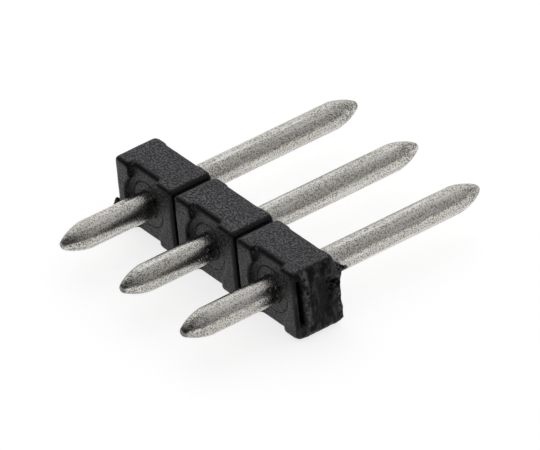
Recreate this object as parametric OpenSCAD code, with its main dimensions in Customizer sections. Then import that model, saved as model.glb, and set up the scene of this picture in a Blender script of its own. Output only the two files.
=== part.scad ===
// Break-off pin header: a moulded strip of blocks that carries one row of round pins.
// The strip lies on its side. X runs along the row and Y along the pins, with the solder
// tails towards -Y and the mating ends towards +Y. The blocks sit on the board at y = 0,
// and the origin is on the axis of the middle of the row.

/* [Row] */
// Number of pins in the row
ways = 3; // [1:1:12]
// Distance from one pin to the next
pitch = 3.5; // [3.3:0.1:5]

/* [Strip] */
// Height of the strip, across the pins
strip_h = 2.64; // [2.5:0.02:3.4]
// Thickness of the strip, along the pins
strip_t = 1.8; // [1.5:0.02:3]
// Radius of the long edges of the strip
edge_r = 0.12; // [0.04:0.01:0.16]
// Radius of the upright corners behind each block
back_corner_r = 0.28; // [0.1:0.02:0.4]
// Depth of the shallow relief behind each block
back_relief = 0.05; // [0.02:0.01:0.15]
// Width of the relief behind each block
back_relief_w = 1.9; // [1:0.1:2.2]

/* [Break-off notches] */
// Width of the notches at their floor
notch_w = 0.16; // [0.04:0.01:0.2]
// Radius of the shoulders above and below a notch
notch_r = 0.16; // [0.06:0.01:0.3]
// Depth of the notches in the top and the bottom
notch_depth = 0.22; // [0.17:0.01:0.4]
// Radius of the shoulders beside a notch in front
front_notch_r = 0.12; // [0.06:0.01:0.2]
// Depth of the notches in front
front_notch_depth = 0.22; // [0.15:0.01:0.4]
// Depth of the notches behind
back_notch_depth = 0.08; // [0.04:0.01:0.2]
// How far inside the last notches the strip was parted at its ends
end_trim = 0.1; // [0:0.02:0.2]
// Reach of the torn burrs on the two end faces
burr_reach = 0.3; // [0.1:0.02:0.4]
// Width of the torn burrs at their root
burr_h = 0.2; // [0.1:0.02:0.3]

/* [Seating face] */
// Diameter of the round pocket around each pin
pocket_d = 2.16; // [1.8:0.02:2.6]
// Depth of the pocket behind the standoff pads
pocket_depth = 0.2; // [0.1:0.01:0.3]
// Width of the pocket where it runs out through the top and the bottom
outlet_w = 1.46; // [1:0.02:1.7]
// Extra width of the top outlet at its mouth, on each side
outlet_flare = 0.07; // [0.03:0.01:0.3]
// Radius of the pads' lower inner corners
pad_corner_r = 0.14; // [0.05:0.01:0.2]
// Radius of the lip, where the pocket's floor turns into the top
lip_r = 0.16; // [0.05:0.01:0.3]
// Diameter of the ring line that the ejector sleeve leaves around the pin
ring_d = 1.72; // [1.4:0.02:1.9]
// Width and depth of the ring line
ring_line = 0.04; // [0.02:0.01:0.08]

/* [Pins] */
// Diameter of a pin
pin_d = 1.0; // [0.6:0.05:1.2]
// Reach of the solder tails below the board side
tail_reach = 3.5; // [2:0.05:6]
// Reach of the mating ends beyond the back of the strip
mate_reach = 7.1; // [3:0.1:12]
// Length of the bullet nose at both ends of a pin
nose_len = 1.0; // [0.5:0.05:1.5]
// Diameter of the flat at the very tip
tip_d = 0.26; // [0.1:0.02:0.4]
// How much further the last pin was pressed towards the board than the first
press_spread = 0.12; // [0:0.01:0.16]
// Diameter of the swollen stretch that holds a pin in the strip
grip_d = 1.34; // [1.32:0.02:1.5]
// Depth of plastic over each end of that stretch
grip_cover = 0.08; // [0.07:0.01:0.2]
// Gap between a pin and the plastic that grips it
grip_gap = 0; // [0:0.005:0.02]

/* [Hidden] */
$fn = 96;
cut = 0.1;                                     // how far a cutter runs past the face it opens
row_l = ways * pitch;                          // length of the row from notch to notch
root_h = strip_h - 2 * notch_depth;            // what is left of the height at a notch
ring_r = ring_d / 2;
pin_r = pin_d / 2;
tip_r = tip_d / 2;
// A tangent ogive: the arc leaves the shank smoothly and ends at the tip's flat.
nose_arc_r = (nose_len * nose_len + pow(pin_r - tip_r, 2)) / (2 * (pin_r - tip_r));
pin_l = tail_reach + strip_t + mate_reach;
grip_from = pocket_depth + grip_cover;
grip_to = strip_t - back_relief - grip_cover;
swell = (grip_d - pin_d) / 2;

// x of pin i, counted from 1
function place(i) = (i - (ways + 1) / 2) * pitch;
// y of pin i against the middle of the row
function press(i) = ways > 1 ? press_spread * (0.5 - (i - 1) / (ways - 1)) : 0;
// x of the two ends of block i: the roots of its notches, or the broken ends of the strip
function left_x(i) = place(i) - pitch / 2 + (i == 1 ? end_trim : 0);
function right_x(i) = place(i) + pitch / 2 - (i == ways ? end_trim : 0);

// Extrudes an outline drawn in X and Z along the pins, from y0 to y0 + l.
module along_pins(y0, l) {
    translate([0, y0 + l, 0]) rotate([90, 0, 0]) linear_extrude(l) children();
}

// Extrudes an outline drawn in Y and Z along the row, from x0 to x0 + l.
module along_row(x0, l) {
    translate([x0, 0, 0]) rotate([90, 0, 90]) linear_extrude(l) children();
}

// A rectangle between two opposite corners. The corners at the low end of the second axis
// are rounded by r_low, those at its high end by r_high.
module rounded(low, high, r_low, r_high) {
    w = high[0] - low[0];
    translate([low[0], low[1] + r_low]) square([w, high[1] - low[1] - r_low - r_high]);
    translate([low[0] + r_low, low[1]]) square([w - 2 * r_low, 2 * r_low]);
    translate([low[0] + r_high, high[1] - 2 * r_high]) square([w - 2 * r_high, 2 * r_high]);
    for (x = [low[0] + r_low, high[0] - r_low]) translate([x, low[1] + r_low]) circle(r_low);
    for (x = [low[0] + r_high, high[0] - r_high]) translate([x, high[1] - r_high]) circle(r_high);
}

// Block i from above, with the web that joins it to its neighbours.
module block_plan(i) {
    rounded(
        [left_x(i) + notch_w / 2, 0], [right_x(i) - notch_w / 2, strip_t],
        front_notch_r, back_corner_r
    );
    translate([left_x(i), front_notch_depth])
        square([right_x(i) - left_x(i), strip_t - front_notch_depth - back_notch_depth]);
}

// Block i from the front, with its web.
module block_front(i) {
    rounded(
        [left_x(i) + notch_w / 2, -strip_h / 2], [right_x(i) - notch_w / 2, strip_h / 2],
        notch_r, notch_r
    );
    translate([left_x(i), -root_h / 2]) square([right_x(i) - left_x(i), root_h]);
}

// The strip from its end: a box with its four long edges rounded.
module strip_side() {
    rounded([0, -strip_h / 2], [strip_t, strip_h / 2], edge_r, edge_r);
}

// The whole strip before anything is cut from its faces, with a notch at every joint.
module strip_blank() {
    intersection() {
        translate([0, 0, -strip_h / 2])
            linear_extrude(strip_h) for (i = [1:ways]) block_plan(i);
        along_pins(0, strip_t) for (i = [1:ways]) block_front(i);
        along_row(-row_l / 2, row_l) strip_side();
    }
}

// Outline of the pocket: a circle that runs out through the top and the bottom.
module pocket_outline() {
    neck_z = sqrt(pow(pocket_d, 2) - pow(outlet_w, 2)) / 2;
    circle(d = pocket_d);
    translate([-outlet_w / 2, -strip_h / 2 - cut]) square([outlet_w, strip_h + 2 * cut]);
    polygon([
        [-outlet_w / 2, neck_z], [outlet_w / 2, neck_z],
        [outlet_w / 2 + outlet_flare, strip_h / 2], [outlet_w / 2 + outlet_flare, strip_h / 2 + cut],
        [-outlet_w / 2 - outlet_flare, strip_h / 2 + cut], [-outlet_w / 2 - outlet_flare, strip_h / 2]
    ]);
    for (side = [-1, 1])
        difference() {
            translate([side * (outlet_w + pad_corner_r) / 2, (pad_corner_r - strip_h - cut) / 2])
                square([pad_corner_r, pad_corner_r + cut], center = true);
            translate([side * (outlet_w / 2 + pad_corner_r), pad_corner_r - strip_h / 2])
                circle(pad_corner_r);
        }
}

// What is cut from the board side of one block: the pocket, its round lip and the ring line.
module board_side_cut() {
    along_pins(-cut, pocket_depth + cut) pocket_outline();
    intersection() {
        along_pins(0, pocket_depth + lip_r) pocket_outline();
        along_row(-pitch / 2, pitch)
            difference() {
                translate([0, strip_h / 2 - lip_r]) square([pocket_depth + lip_r, lip_r + cut]);
                translate([pocket_depth + lip_r, strip_h / 2 - lip_r]) circle(lip_r);
            }
    }
    along_pins(pocket_depth - ring_line, 2 * ring_line)
        difference() {
            circle(ring_r);
            circle(ring_r - ring_line);
        }
}

// The shallow relief behind one block, as round at its edges as the strip itself.
module back_cut() {
    along_row(-back_relief_w / 2, back_relief_w)
        difference() {
            translate([strip_t / 2, -strip_h / 2 - cut])
                square([strip_t / 2 + cut, strip_h + 2 * cut]);
            translate([-back_relief, 0]) strip_side();
        }
}

// Half outline of a pin, with its axis upright: x is the radius and y runs up from the tip
// of the solder tail.
module pin_profile(gap = 0) {
    shank_l = pin_l - 2 * nose_len;
    translate([0, nose_len]) square([pin_r + gap, shank_l]);
    for (end = [0, 1])
        translate([0, nose_len + end * shank_l])
            mirror([0, 1 - end])
                intersection() {
                    translate([pin_r - nose_arc_r, 0]) circle(nose_arc_r, $fn = 4 * $fn);
                    square([pin_r, nose_len]);
                }
    translate([0, tail_reach])
        polygon([
            [0, grip_from], [pin_r + gap, grip_from],
            [pin_r + gap + swell, grip_from + swell], [pin_r + gap + swell, grip_to - swell],
            [pin_r + gap, grip_to], [0, grip_to]
        ]);
}

// The bore that grips pin i: the pin's own form through the strip, swollen stretch and all.
module bore(i) {
    translate([place(i), press(i) - tail_reach, 0])
        rotate([-90, 0, 0]) rotate_extrude() pin_profile(grip_gap);
}

// A wedge that runs to an edge across its height.
module burr_wedge() {
    linear_extrude(2 * burr_h, center = true)
        polygon([[-burr_h, -burr_h / 2], [burr_reach, 0], [-burr_h, burr_h / 2]]);
}

// A torn point of plastic, left where the strip was parted from its neighbour. It is rooted
// inside the strip and runs to a point.
module burr() {
    intersection() {
        burr_wedge();
        rotate([90, 0, 0]) burr_wedge();
    }
}

// The moulded strip: blocks, pockets, bores, and the burrs of its two broken ends.
module housing() {
    color([0.16, 0.16, 0.17]) {
        difference() {
            strip_blank();
            for (i = [1:ways]) {
                translate([place(i), 0, 0]) {
                    board_side_cut();
                    back_cut();
                }
                bore(i);
            }
        }
        translate([right_x(ways) - burr_h / 4, strip_t - back_notch_depth, root_h / 2 - burr_h])
            rotate([0, 0, 65]) burr();
        translate([left_x(1), front_notch_depth, -root_h / 5])
            rotate([0, 124, 22]) burr();
    }
}

// One tin-plated pin: a straight shank with a bullet nose at each end and a stretch that
// swells inside the plastic to hold it.
module pin(i) {
    color([0.82, 0.8, 0.76])
        translate([place(i), press(i) - tail_reach, 0])
            rotate([-90, 0, 0]) rotate_extrude() pin_profile();
}

housing();
for (i = [1:ways])
    pin(i);
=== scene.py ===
"""Looks of the break-off pin header: a black moulded strip with three tinned round pins."""
import math

import bmesh
import bpy
from mathutils import Matrix, Vector, noise


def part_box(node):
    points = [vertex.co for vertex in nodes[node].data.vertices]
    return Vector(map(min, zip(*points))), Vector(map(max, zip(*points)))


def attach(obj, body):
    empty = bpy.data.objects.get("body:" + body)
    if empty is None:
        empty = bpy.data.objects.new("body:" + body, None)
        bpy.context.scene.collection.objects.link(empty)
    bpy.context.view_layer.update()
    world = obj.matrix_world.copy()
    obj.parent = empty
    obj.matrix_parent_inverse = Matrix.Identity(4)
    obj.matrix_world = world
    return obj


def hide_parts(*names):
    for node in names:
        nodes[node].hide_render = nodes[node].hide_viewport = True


MM = 0.001

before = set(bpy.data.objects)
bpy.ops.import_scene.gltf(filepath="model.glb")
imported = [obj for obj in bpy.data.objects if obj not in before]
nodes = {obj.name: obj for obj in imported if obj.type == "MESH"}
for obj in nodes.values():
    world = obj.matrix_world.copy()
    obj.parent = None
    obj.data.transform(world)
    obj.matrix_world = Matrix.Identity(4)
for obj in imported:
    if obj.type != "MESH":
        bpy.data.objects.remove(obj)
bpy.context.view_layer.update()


# --- The moulded strip ---------------------------------------------------------------------
# One moulding of black glass-filled nylon: three blocks in a row, parted by notches so that
# the strip can be snapped to length. Its mould was spark eroded, which leaves a leathery
# grain. Both ends are torn where the strip was snapped from a longer one.

class Value:
    """A socket of a node tree that takes part in Python arithmetic."""

    def __init__(self, finish, socket):
        self.finish, self.socket = finish, socket

    def math(self, operation, *others):
        """This value and others put through one Math node."""
        inputs = dict(enumerate((self, *others)))
        return self.finish.node("ShaderNodeMath", {"operation": operation}, inputs)

    def __add__(self, other):
        return self.math("ADD", other)

    def __sub__(self, other):
        return self.math("SUBTRACT", other)

    def __mul__(self, other):
        return self.math("MULTIPLY", other)

    def __rsub__(self, other):
        return (self * -1.0) + other

    __radd__ = __add__
    __rmul__ = __mul__

    def between(self, low, high):
        """0 at low, 1 at high, and smooth in between. high may be the lower one."""
        settings = {"interpolation_type": "SMOOTHSTEP"}
        inputs = {"Value": self, "From Min": low, "From Max": high}
        return self.finish.node("ShaderNodeMapRange", settings, inputs)


class Finish:
    """A node tree of a material or of the world, with its pattern in millimetres."""

    def __init__(self, owner, output="ShaderNodeOutputMaterial"):
        owner.use_nodes = True
        self.owner = owner
        self.tree = owner.node_tree
        self.tree.nodes.clear()
        self.output = self.tree.nodes.new(output)

    def node(self, kind, settings=None, inputs=None, result=0):
        """Adds a node, sets it up, and fills or links its sockets."""
        node = self.tree.nodes.new(kind)
        for key, setting in (settings or {}).items():
            setattr(node, key, setting)
        for key, given in (inputs or {}).items():
            if isinstance(given, Value):
                self.tree.links.new(given.socket, node.inputs[key])
            else:
                node.inputs[key].default_value = given
        return Value(self, node.outputs[result])

    def place(self, scale=(1, 1, 1)):
        """Where a point of the piece is, in millimetres, stretched by scale."""
        spot = self.node("ShaderNodeTexCoord", result="Object")
        stretch = [s / MM for s in scale]
        return self.node("ShaderNodeVectorMath", {"operation": "MULTIPLY"}, {0: spot, 1: stretch})

    def axis(self, name):
        """One coordinate of a point of the piece, in millimetres."""
        return self.node("ShaderNodeSeparateXYZ", inputs={0: self.place()}, result=name)

    def noise(self, per_mm, detail=2.0, stretch=(1, 1, 1), rough=0.5, warp=0.0):
        """Cloudy noise from 0 to 1 with this many lumps a millimetre."""
        inputs = {"Vector": self.place(stretch), "Scale": per_mm, "Detail": detail,
                  "Roughness": rough, "Distortion": warp}
        return self.node("ShaderNodeTexNoise", {"noise_dimensions": "3D"}, inputs, "Fac")

    def cells(self, per_mm, stretch=(1, 1, 1)):
        """The distance to the nearest of many scattered points, in cell widths."""
        inputs = {"Vector": self.place(stretch), "Scale": per_mm}
        return self.node("ShaderNodeTexVoronoi", {"feature": "F1"}, inputs, "Distance")

    def mix(self, share, colour, other):
        """One colour where share is 0 and the other where it is 1."""
        given = [c if isinstance(c, Value) else (*c, 1.0) for c in (colour, other)]
        inputs = {0: share, 6: given[0], 7: given[1]}
        return self.node("ShaderNodeMix", {"data_type": "RGBA"}, inputs, 2)

    def bump(self, height_mm):
        """A normal from a height in millimetres."""
        inputs = {"Strength": 1.0, "Distance": MM, "Height": height_mm}
        return self.node("ShaderNodeBump", inputs=inputs)

    def surface(self, **sockets):
        """Ends the material in one shader with these sockets."""
        named = {key.replace("_", " "): given for key, given in sockets.items()}
        named = {key: (*g, 1.0) if isinstance(g, tuple) else g for key, g in named.items()}
        shader = self.node("ShaderNodeBsdfPrincipled", inputs=named)
        self.tree.links.new(shader.socket, self.output.inputs["Surface"])
        return self.owner


def piece_from(name, form, material):
    """Makes a piece of a form that was modelled in millimetres."""
    bmesh.ops.scale(form, vec=(MM, MM, MM), verts=form.verts)
    mesh = bpy.data.meshes.new(name)
    form.to_mesh(mesh)
    form.free()
    mesh.shade_smooth()
    mesh.materials.append(material)
    piece = bpy.data.objects.new(name, mesh)
    bpy.context.scene.collection.objects.link(piece)
    return piece


def grown(form, size):
    """The skin of a form, rebuilt as an even net of small faces."""
    mesh = bpy.data.meshes.new("net")
    form.to_mesh(mesh)
    form.free()
    holder = bpy.data.objects.new("net", mesh)
    bpy.context.scene.collection.objects.link(holder)
    net = holder.modifiers.new("net", "REMESH")
    net.mode = "VOXEL"
    net.voxel_size = size
    evaluated = holder.evaluated_get(bpy.context.evaluated_depsgraph_get())
    grown_form = bmesh.new()
    grown_form.from_mesh(evaluated.to_mesh())
    bpy.data.objects.remove(holder)
    bpy.data.meshes.remove(mesh)
    return grown_form


def waves(point, per_mm, seed):
    """Smooth noise between -1 and 1 at a point in millimetres."""
    return noise.noise(point * per_mm + Vector((seed, seed, seed)))


def rolls(point, layers):
    """The height of some layers of waves: each has a height, waves per mm and a seed."""
    return sum(height * waves(point, per_mm, seed) for height, per_mm, seed in layers)


def ramp(x, low, high):
    """0 at low, 1 at high, and smooth in between. high may be the lower one."""
    share = min(1.0, max(0.0, (x - low) / (high - low)))
    return share * share * (3 - 2 * share)


pitch = 3.5
broken_x = 1.5 * pitch - 0.1
net_size = 0.04
skin_waves = ((0.006, 2.5, 3), (0.002, 7, 11))

# How the edges are rounded: turns of softening, and where none or fewer are taken.
bore_skin = 0.54
notch_half = 0.12
skin_turns, face_turns = 2, 6
full_bend = 0.016
spread_turns = 2

# The lower front corners of the ends, and the rims of the broken faces.
corner_in, corner_back, corner_top, corner_turns = 0.4, 0.4, -0.9, 14
rim_in, rim_out, rim_back, rim_turns = 0.3, 0.04, 1.86, 8

# Each burr's middle and the way it points.
burrs = (((5.14, 1.72, 0.84), (0.42, 0.91, -0.15)), ((-5.31, 0.10, -0.80), (-0.5, -0.31, -0.81)))
burr_foot_r, burr_tip_r, burr_length = 0.18, 0.03, 0.5

# A broken face: its streaks, then its pits and lumps as y, z, radius and height.
torn_from, torn_full = broken_x - 0.16, broken_x - 0.05
streak_y, streak_z = 3.2, 0.9
streaks = ((0.05, 1.4, 5), (0.03, 4, 9))
torn_grain = ((0.02, 11, 2),)
torn_spots = ((1.50, 0.36, 0.22, -0.36), (1.36, 0.62, 0.14, -0.16), (1.39, -0.08, 0.15, 0.08),
              (0.36, -0.57, 0.16, 0.08), (1.60, -0.30, 0.12, -0.12))
crack_depth = 0.32
foot_out = 0.07
bulge_out, bulge_lean = 0.16, 0.05
bulge_waves = ((0.04, 4, 6),)


def from_pin(point):
    """How far a point is from the nearest pin's axis."""
    column = (point.x + 1.5 * pitch) % pitch - pitch / 2
    return math.hypot(column, point.z)


def add_burrs(form):
    """Sets a small leaning cone at each broken end."""
    for spot, way in burrs:
        turn = Vector(way).to_track_quat("Z", "Y").to_matrix().to_4x4()
        bmesh.ops.create_cone(form, cap_ends=True, segments=9, radius1=burr_foot_r,
                              radius2=burr_tip_r, depth=burr_length,
                              matrix=Matrix.Translation(spot) @ turn)


def soften(form, verts, turns):
    """Rounds off a part of the skin, more with each turn."""
    for _ in range(turns):
        bmesh.ops.smooth_vert(form, verts=verts, factor=0.5, use_axis_x=True,
                              use_axis_y=True, use_axis_z=True)


def round_edges(form, bend):
    """Rounds the edges. bend keeps how far each point went in, or out where it is negative."""
    sharp = [vert.co.copy() for vert in form.verts]
    bores = {v for v in form.verts if from_pin(v.co) < bore_skin}
    notches = {v for v in form.verts if abs(abs(v.co.x) - pitch / 2) < notch_half}
    faces = [v for v in form.verts if v not in bores and v not in notches]
    soften(form, [v for v in form.verts if v not in bores], skin_turns)
    soften(form, faces, face_turns)
    form.normal_update()
    for vert, before in zip(form.verts, sharp):
        moved = (before - vert.co).dot(vert.normal)
        # The notches get the full bend, so the material paints shade into the grooves and
        # flattens their grain.
        vert[bend] = 1.0 if vert in notches else moved / full_bend
    for _ in range(spread_turns):
        around = [sum(edge.other_vert(v)[bend] for edge in v.link_edges) / len(v.link_edges)
                  for v in form.verts]
        for vert, mean in zip(form.verts, around):
            vert[bend] = (vert[bend] + mean) / 2


def round_ends(form):
    """Rounds both ends more, and most of all at their lower front corners."""
    corners = [v for v in form.verts if abs(v.co.x) > broken_x - corner_in
               and v.co.y < corner_back and v.co.z < corner_top]
    soften(form, corners, corner_turns)
    rims = [v for v in form.verts
            if broken_x - rim_in < abs(v.co.x) < broken_x + rim_out and v.co.y < rim_back]
    soften(form, rims, rim_turns)
    form.normal_update()


def torn_height(spot):
    """How far a broken face stands out at a point."""
    streak = Vector((spot.x, spot.y * streak_y, spot.z * streak_z))
    rough = rolls(streak, streaks) + rolls(spot, torn_grain)
    for y, z, radius, height in torn_spots:
        away = math.hypot(spot.y - y, spot.z - z)
        rough += height * ramp(away, radius, 0.3 * radius)
    rough += foot_out * ramp(spot.z, -0.3, -1.1)
    crack = ramp(spot.y, 0.11, 0.17) * ramp(spot.y, 0.34, 0.26) * ramp(spot.z, -0.85, -0.6)
    return rough - crack_depth * crack * ramp(spot.z, 1.1, 0.95)


def tear_ends(form):
    """Makes the whole skin a little wavy, and tears both ends."""
    for vert in form.verts:
        spot = vert.co.copy()
        vert.co += vert.normal * rolls(spot, skin_waves)
        torn = ramp(abs(spot.x), torn_from, torn_full)
        if torn:
            vert.co.x += math.copysign(torn, spot.x) * torn_height(spot)
            bulge = bulge_out + bulge_lean * spot.z + rolls(spot, bulge_waves)
            vert.co.y += torn * bulge * ramp(spot.y, 1.45, 1.7) * ramp(spot.z, 1.35, 0.95)


def strip_form():
    """The strip with soft edges, a little wavy, and torn at both ends."""
    form = bmesh.new()
    form.from_mesh(nodes["housing"].data)
    bmesh.ops.remove_doubles(form, verts=form.verts, dist=1e-7)
    bmesh.ops.scale(form, vec=(1 / MM, 1 / MM, 1 / MM), verts=form.verts)
    add_burrs(form)
    form = grown(form, net_size)
    bend = form.verts.layers.float.new("bend")
    round_edges(form, bend)
    round_ends(form)
    tear_ends(form)
    return form


ring_r = 0.84
deep_black = (0.001, 0.001, 0.001)
grain_grey = (0.147, 0.145, 0.160)
worn_grey = (0.024, 0.024, 0.028)
# Near black: painted shade on the rounded edges, in the hollows and in the notches.
painted_edge_shade = (0.004, 0.004, 0.005)
torn_grey = (0.080, 0.080, 0.087)
crumbled_grey = (0.19, 0.19, 0.19)
# Pure black: painted shade in the crack and the pits of the broken ends.
painted_pit_shade = (0.0, 0.0, 0.0)


def black_nylon():
    """Black plastic: grained where it was moulded, smooth on its edges, rough where torn; with
    painted shade on its edges and in its hollows, notches, crack and pits.
    """
    plastic = Finish(bpy.data.materials.new("black_nylon"))
    x, y, z = (plastic.axis(name) for name in "XYZ")
    grain = plastic.noise(9.0, 2.0, rough=0.6, warp=0.4)
    stipple = plastic.noise(16.0, 1.0, stretch=(0.8, 1, 1), warp=0.3)
    cloud = plastic.noise(0.9, 3.0)

    # The moulded faces, their smooth edges with painted shade on them and in the hollows and
    # notches, and the ring line around each pin.
    bend = plastic.node("ShaderNodeAttribute", {"attribute_name": "bend"}, result="Fac")
    # A mask of the rounded edges, the hollows and the notches. Shade is painted over it and the
    # grain is flattened there.
    edge = bend.between(0.0, 0.36) + bend.between(-0.12, -0.5) * 0.9
    column = (x + 1.5 * pitch).math("MODULO", pitch) - pitch / 2
    radius = (column * column + z * z).math("SQRT")
    ring = (radius - ring_r).math("ABSOLUTE").between(0.045, 0.0) * y.between(0.3, 0.24)
    moulded = plastic.mix(stipple.between(0.45, 0.60), deep_black, grain_grey)
    cloudy = plastic.mix(cloud.between(0.3, 0.75) * 0.3, moulded, worn_grey)
    # Painted shade: the rounded edges, hollows and notches go near black.
    smooth = plastic.mix(edge * 0.92, cloudy, painted_edge_shade)

    # The broken ends: streaked, crumbled along the rim, and with painted shade, pure black, in
    # the crack and the pits.
    torn = x.math("ABSOLUTE").between(broken_x - 0.22, broken_x - 0.10)
    streak = plastic.noise(2.4, 3.0, stretch=(1, 1.7, 0.5), rough=0.6)
    broken = plastic.mix(streak.between(0.45, 0.64), deep_black, torn_grey)
    lip = y.between(0.30, 0.38) * y.between(0.62, 0.48)
    rim = y.between(1.52, 1.72) + z.between(-1.0, -1.2) + lip
    crumbled = plastic.mix(rim * grain.between(0.46, 0.6) * 0.9, broken, crumbled_grey)
    crack = y.between(0.13, 0.17) * y.between(0.34, 0.27) * z.between(-0.85, -0.6) * torn
    hole_y, hole_z = torn_spots[0][:2]
    from_hole = ((y - hole_y) * (y - hole_y) + (z - hole_z) * (z - hole_z)).math("SQRT")
    hole = (from_hole + (grain - 0.5) * 0.5).between(0.25, 0.16)
    pits = plastic.cells(2.6, stretch=(0.3, 1, 0.8)).between(0.28, 0.16)
    # Where shade is painted: the crack, the big pit and the scattered pits.
    dark = (crack + (pits + hole) * torn).math("MINIMUM", 1.0)
    torn_colour = plastic.mix(dark, crumbled, painted_pit_shade)

    relief = (grain - 0.5) * 0.026 + (stipple - 0.5) * 0.014
    return plastic.surface(
        Base_Color=plastic.mix(torn, smooth, torn_colour),
        Roughness=(cloud * 0.06 + 0.27) + torn * 0.25,
        Normal=plastic.bump(relief * (1.0 - edge * 0.8) - ring * 0.04),
        Specular_IOR_Level=0.14
    )


strip = piece_from("strip", strip_form(), black_nylon())
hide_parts("housing")
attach(strip, "root")


# --- The pins ------------------------------------------------------------------------------
# Three round pins of brass, tin plated all over, with a bullet nose at both ends. The plating
# is dull and finely speckled. Each pin is pressed through its block.

pin_r = 0.5
tip_r = 0.13
tip_round = 0.03
nose = 1.0
nose_arc_share = 0.65
nose_steps, shank_steps, turn_steps = 14, 24, 72
tail_tip, mate_tip = -3.5, 8.9

dark_tin = (0.56, 0.543, 0.51)
light_tin = (0.66, 0.645, 0.61)
stain_grey = (0.225, 0.21, 0.18)
blunt_grey = (0.10, 0.09, 0.07)
score_white = (0.80, 0.79, 0.77)
sheared_black = (0.07, 0.065, 0.055)
speck_brown = (0.20, 0.18, 0.15)


def tin_plate():
    """Dull tin: speckled, scored along the pin, and darker on the noses and the cut tips."""
    tin = Finish(bpy.data.materials.new("tin_plate"))
    y = tin.axis("Y")
    grain = tin.noise(16.0, 3.0, rough=0.7)
    fleck = tin.noise(21.0, 1.0)
    drawn = tin.noise(6.0, 2.0, stretch=(1, 0.12, 1))
    scored = tin.noise(7.0, 1.0, stretch=(1, 0.05, 1))
    speck = tin.cells(7.0).between(0.22, 0.10) * tin.noise(2.2, 2.0).between(0.42, 0.62)
    blunt = y.between(mate_tip - 1.2, mate_tip - 0.4) + y.between(tail_tip + 0.9, tail_tip + 0.2)
    sheared = y.between(mate_tip - 0.12, mate_tip) + y.between(tail_tip + 0.12, tail_tip)

    bright = tin.mix(tin.noise(1.2, 3.0), dark_tin, light_tin)
    stained = tin.mix(fleck.between(0.36, 0.56), stain_grey, bright)
    dull = tin.mix(blunt * (1.0 - fleck.between(0.42, 0.62)) * 0.75, stained, blunt_grey)
    lined = tin.mix(scored.between(0.5, 0.7) * 0.5, dull, score_white)
    tipped = tin.mix(sheared * 0.7, lined, sheared_black)
    return tin.surface(
        Base_Color=tin.mix(speck * 0.75, tipped, speck_brown),
        Metallic=1.0,
        Roughness=grain * 0.12 + 0.14,
        Normal=tin.bump(grain * 0.008 + drawn * 0.008 - speck * 0.012)
    )


def nose_outline():
    """Half the outline of a nose, from its tip on: part arc and part cone."""
    arc_r = (nose * nose + (pin_r - tip_r) ** 2) / (2 * (pin_r - tip_r))
    half = math.asin(nose / arc_r)
    outline = [(0.0, 0.0), (tip_r - tip_round, 0.0), (tip_r - 0.3 * tip_round, 0.3 * tip_round)]
    for step in range(1, nose_steps + 1):
        angle = half * (1 - step / nose_steps)
        along = nose - arc_r * math.sin(angle)
        arc = pin_r - arc_r * (1 - math.cos(angle))
        cone = tip_r + (pin_r - tip_r) * along / nose
        outline.append((nose_arc_share * arc + (1 - nose_arc_share) * cone, along))
    return outline


def pin_form(low, high):
    """A pin between two corners of its box, spun from its half outline."""
    length = high.y - low.y
    shank_length = length - 2 * nose
    near_nose = nose_outline()
    shank = [(pin_r, nose + shank_length * part / shank_steps) for part in range(1, shank_steps)]
    far_nose = [(r, length - y) for r, y in reversed(near_nose)]
    outline = near_nose + shank + far_nose
    form = bmesh.new()
    verts = [form.verts.new((r, y, 0)) for r, y in outline]
    for a, b in zip(verts, verts[1:]):
        form.edges.new((a, b))
    bmesh.ops.spin(form, geom=form.verts[:] + form.edges[:], cent=(0, 0, 0), axis=(0, 1, 0),
                   angle=math.tau, steps=turn_steps, use_merge=True, use_duplicate=False)
    bmesh.ops.remove_doubles(form, verts=form.verts, dist=1e-5)
    bmesh.ops.recalc_face_normals(form, faces=form.faces)
    bmesh.ops.translate(form, vec=((low.x + high.x) / 2, low.y, 0), verts=form.verts)
    return form


tin = tin_plate()
for name in nodes:
    if name.startswith("pin_"):
        low, high = (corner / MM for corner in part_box(name))
        piece = piece_from(name + "_skin", pin_form(low, high), tin)
        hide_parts(name)
        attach(piece, "root")


# --- The table -----------------------------------------------------------------------------
# A plain white sheet that the strip lies on. It shows white and keeps the shadow.

table_half = 400 * MM
table_white = (0.5, 0.5, 0.5)
glow_white = (1.0, 1.0, 1.0)
table_glow = 0.76


def white_paper():
    """Matt white that glows for the eye and in reflections, and adds no soft light."""
    paper = Finish(bpy.data.materials.new("white_paper"))
    straight, mirrored, through = (
        paper.node("ShaderNodeLightPath", result=kind)
        for kind in ("Is Camera Ray", "Is Glossy Ray", "Is Transmission Ray")
    )
    return paper.surface(
        Base_Color=table_white, Roughness=1.0, Emission_Color=glow_white,
        Emission_Strength=(straight + mirrored + through) * table_glow
    )


sheet = bmesh.new()
bmesh.ops.create_grid(sheet, x_segments=1, y_segments=1, size=table_half)
bmesh.ops.translate(sheet, vec=(0, 0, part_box("housing")[0].z), verts=sheet.verts)
table_mesh = bpy.data.meshes.new("table")
sheet.to_mesh(table_mesh)
sheet.free()
table_mesh.materials.append(white_paper())
table = bpy.data.objects.new("table", table_mesh)
bpy.context.scene.collection.objects.link(table)


# --- Light and camera ----------------------------------------------------------------------
# A white tent that is brightest low down at the back left, and a softbox in it. The side
# towards the camera is dim, so rounded edges show as dark lines.

world = bpy.data.worlds.new("tent")
tent = Finish(world, "ShaderNodeOutputWorld")
way = tent.node("ShaderNodeTexCoord", result="Generated")


def towards(x, y, z):
    """How far a direction of the tent agrees with this one, from -1 to 1."""
    settings = {"operation": "DOT_PRODUCT"}
    inputs = {0: way, 1: Vector((x, y, z)).normalized()}
    return tent.node("ShaderNodeVectorMath", settings, inputs, "Value")


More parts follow.
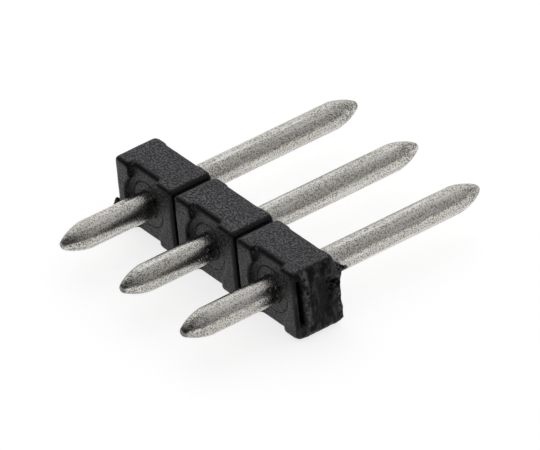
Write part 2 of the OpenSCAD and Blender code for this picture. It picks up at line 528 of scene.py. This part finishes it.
mean_glow, glow_swing = 0.59, 0.32
dimming = 0.7
glow = towards(-0.83, 0.5, 0.1) * glow_swing + mean_glow
dim_side = towards(-0.1, -1.0, 0.0).between(-0.05, 0.5)
level = glow * (1.0 - dim_side * dimming)
camera_ray = tent.node("ShaderNodeLightPath", result="Is Camera Ray")
shown = level * (1.0 - camera_ray) + camera_ray
background = tent.node("ShaderNodeBackground", inputs={"Color": (1, 1, 1, 1), "Strength": shown})
tent.tree.links.new(background.socket, tent.output.inputs["Surface"])
bpy.context.scene.world = world


def aimed(azimuth, elevation):
    """The way from the strip to something seen at these angles."""
    return Vector((math.cos(elevation) * math.cos(azimuth),
                   math.cos(elevation) * math.sin(azimuth), math.sin(elevation)))


softbox_away = aimed(math.radians(150), math.radians(40))
softbox_distance = 300 * MM
softbox_width, softbox_height = 300 * MM, 240 * MM
softbox_watts = 0.05

lamp = bpy.data.lights.new("back_left", "AREA")
lamp.shape = "RECTANGLE"
lamp.size, lamp.size_y, lamp.energy = softbox_width, softbox_height, softbox_watts
softbox = bpy.data.objects.new("back_left", lamp)
softbox.matrix_world = (
    Matrix.Translation(softbox_away * softbox_distance)
    @ softbox_away.to_track_quat("Z", "Y").to_matrix().to_4x4()
)
bpy.context.scene.collection.objects.link(softbox)

view_azimuth = math.radians(56.613)
view_elevation = math.radians(33.612)
view_roll = math.radians(-5.891)
view_distance = 373.28 * MM
view_centre = Vector((0.968, 2.032, 0.466)) * MM
view_lens = 744.0
view_sensor = 36
view_clip = 10 * MM

turn = (
    Matrix.Rotation(view_azimuth, 4, "Z")
    @ Matrix.Rotation(math.pi / 2 - view_elevation, 4, "X")
    @ Matrix.Rotation(view_roll, 4, "Z")
)
back = turn.to_3x3() @ Vector((0, 0, 1))
lens = bpy.data.cameras.new("camera")
lens.sensor_fit = "HORIZONTAL"
lens.sensor_width = view_sensor
lens.lens = view_lens
lens.clip_start = view_clip
camera = bpy.data.objects.new("camera", lens)
camera.matrix_world = Matrix.Translation(view_centre + back * view_distance) @ turn
bpy.context.scene.collection.objects.link(camera)
bpy.context.scene.camera = camera
bpy.context.scene.view_settings.view_transform = "Standard"
